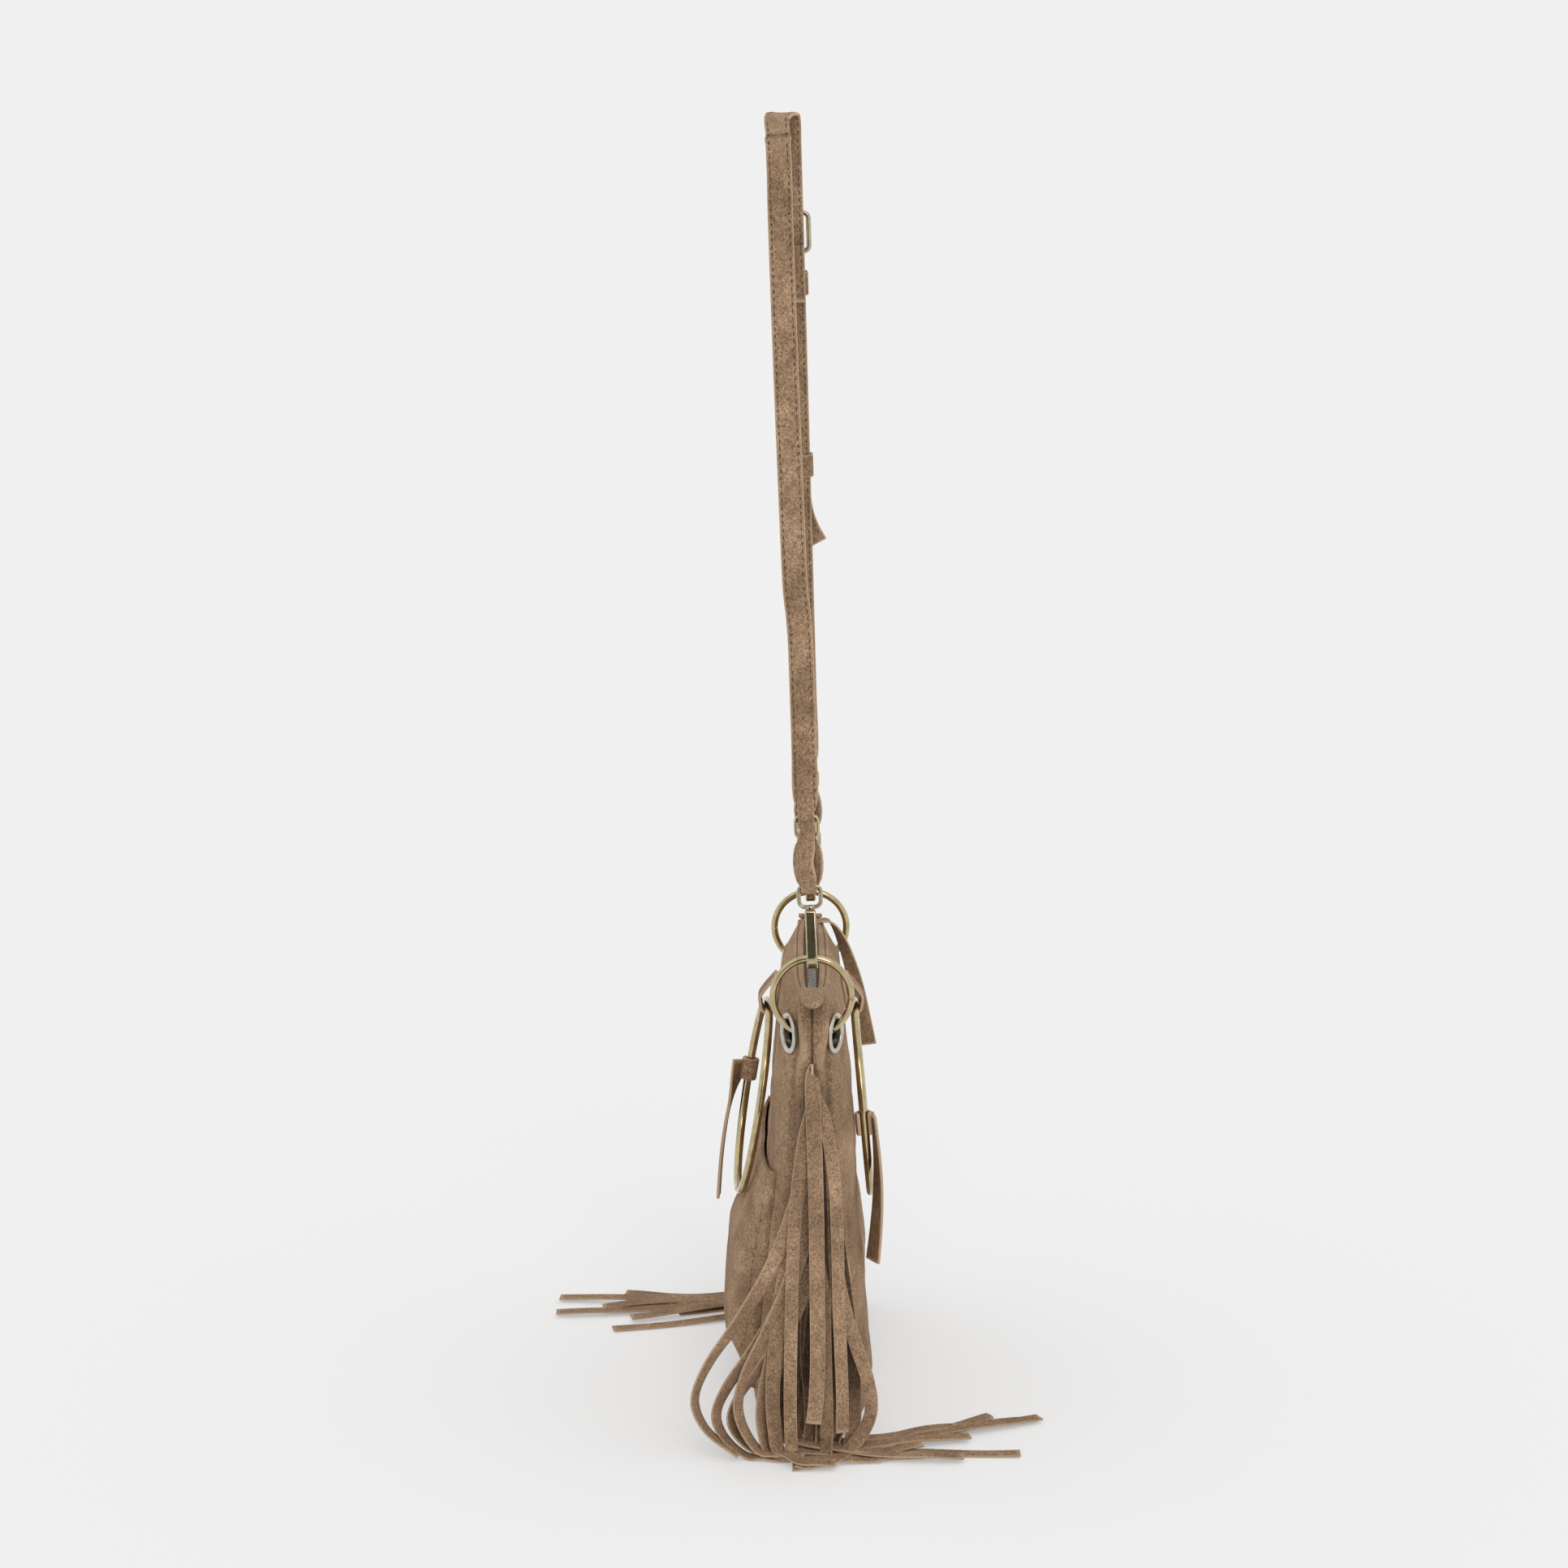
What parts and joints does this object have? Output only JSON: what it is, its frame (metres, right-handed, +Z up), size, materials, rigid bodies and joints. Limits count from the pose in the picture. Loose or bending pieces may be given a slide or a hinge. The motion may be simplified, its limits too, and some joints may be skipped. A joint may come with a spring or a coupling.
{
  "type": "fringed suede shoulder bag",
  "caption": "Soft suede shoulder bag with a zip top, a front pocket, large metal rings on both faces, long fringe on both ends and a buckled strap on swivel hooks.",
  "frame": {"origin": "centre of the flat base, on the surface that the bag stands on", "axes": "+X along the zip towards the end nearest in the picture, -Y out of the front face with the pocket, +Z up along the strap"},
  "size_m": [0.2842, 0.3145, 0.7847],
  "materials": {
    "suede": "napped suede with pale raw edges",
    "zip_cloth": "woven tape",
    "zip_metal": "bright nickel",
    "eyelet_metal": "pale satin",
    "ring_brass": "antique brass",
    "hook_nickel": "warm polished nickel"
  },
  "bodies": {
    "bag": {"front_panel": "suede", "back_panel": "suede", "base_panel": "suede", "front_pocket": "suede", "strap_long": "suede", "strap_short": "suede", "keeper_fixed": "suede", "zip_end_tab_near": "suede", "zip_end_tab_far": "suede", "ring_loop_front": "suede", "ring_loop_back": "suede", "link_loop_near": "suede", "link_loop_far": "suede", "fringe_near": "suede", "fringe_far": "suede", "zip_tape_front": "zip_cloth", "zip_tape_back": "zip_cloth", "zip_teeth_front": "zip_metal", "zip_teeth_back": "zip_metal", "eyelet_front_near": "eyelet_metal", "eyelet_front_far": "eyelet_metal", "eyelet_back_near": "eyelet_metal", "eyelet_back_far": "eyelet_metal", "strap_ring_near": "ring_brass", "strap_ring_far": "ring_brass", "hook_eye_near": "hook_nickel", "hook_eye_far": "hook_nickel", "buckle_frame": "hook_nickel"},
    "zip_slider": {"zip_slider": "zip_metal", "zip_pull_strip": "suede"},
    "face_ring_front": {"face_ring_front": "ring_brass", "tail_strap_front": "suede"},
    "face_ring_back": {"face_ring_back": "ring_brass", "tail_strap_back": "suede"},
    "buckle_prong": {"buckle_prong": "hook_nickel"},
    "keeper_sliding": {"keeper_sliding": "suede"},
    "end_ring_near": {"end_ring_near": "ring_brass"},
    "ring_gate_near": {"end_ring_gate_near": "ring_brass"},
    "hook_near": {"hook_body_near": "hook_nickel"},
    "hook_gate_near": {"hook_gate_near": "hook_nickel"},
    "end_ring_far": {"end_ring_far": "ring_brass"},
    "ring_gate_far": {"end_ring_gate_far": "ring_brass"},
    "hook_far": {"hook_body_far": "hook_nickel"},
    "hook_gate_far": {"hook_gate_far": "hook_nickel"}
  },
  "joints": [
    {"name": "zip_slide", "type": "slide", "parent": "bag", "child": "zip_slider", "axis": [1, 0, 0], "range_m": [0, 0.164], "deforming": ["zip_pull_strip"]},
    {"name": "front_ring_swing", "type": "hinge", "parent": "bag", "child": "face_ring_front", "pos_m": [0, -0.0265, 0.243], "axis": [-1, 0, 0], "range_deg": [0, 120]},
    {"name": "back_ring_swing", "type": "hinge", "parent": "bag", "child": "face_ring_back", "pos_m": [0, 0.0265, 0.243], "axis": [1, 0, 0], "range_deg": [0, 120]},
    {"name": "end_ring_near_turn", "type": "hinge", "parent": "bag", "child": "end_ring_near", "pos_m": [0.09, 0, 0.2705], "axis": [1, 0, 0], "range_deg": [0, 60]},
    {"name": "ring_gate_near_open", "type": "hinge", "parent": "end_ring_near", "child": "ring_gate_near", "pos_m": [0.09, 0.01258, 0.25113], "axis": [1, 0, 0], "range_deg": [0, 6], "stiffness_Nm_per_rad": 0.02},
    {"name": "hook_near_swivel", "type": "hinge", "parent": "bag", "child": "hook_near", "pos_m": [0.09, 0, 0.2945], "axis": [-0.181, -0.0422, 0.9826], "range_deg": [-15, 15]},
    {"name": "hook_gate_near_open", "type": "hinge", "parent": "hook_near", "child": "hook_gate_near", "pos_m": [0.08101, -0.00079, 0.31296], "axis": [0, -0.9991, -0.0429], "range_deg": [0, 20], "stiffness_Nm_per_rad": 0.02},
    {"name": "end_ring_far_turn", "type": "hinge", "parent": "bag", "child": "end_ring_far", "pos_m": [-0.09, 0, 0.2705], "axis": [-1, 0, 0], "range_deg": [0, 60]},
    {"name": "ring_gate_far_open", "type": "hinge", "parent": "end_ring_far", "child": "ring_gate_far", "pos_m": [-0.09, -0.01258, 0.25113], "axis": [-1, 0, 0], "range_deg": [0, 6], "stiffness_Nm_per_rad": 0.02},
    {"name": "hook_far_swivel", "type": "hinge", "parent": "bag", "child": "hook_far", "pos_m": [-0.09, 0, 0.2945], "axis": [0.1811, -0.0292, 0.983], "range_deg": [-15, 15]},
    {"name": "hook_gate_far_open", "type": "hinge", "parent": "hook_far", "child": "hook_gate_far", "pos_m": [-0.081, -0.00055, 0.31297], "axis": [0, 0.9996, 0.0297], "range_deg": [0, 20], "stiffness_Nm_per_rad": 0.02},
    {"name": "buckle_prong_lift", "type": "hinge", "parent": "bag", "child": "buckle_prong", "pos_m": [-0.01182, -0.01212, 0.70285], "axis": [0, -0.9996, -0.0297], "range_deg": [0, 45]},
    {"name": "keeper_slide", "type": "slide", "parent": "bag", "child": "keeper_sliding", "axis": [0.1811, -0.0292, 0.983], "range_m": [-0.01, 0.08]}
  ]
}
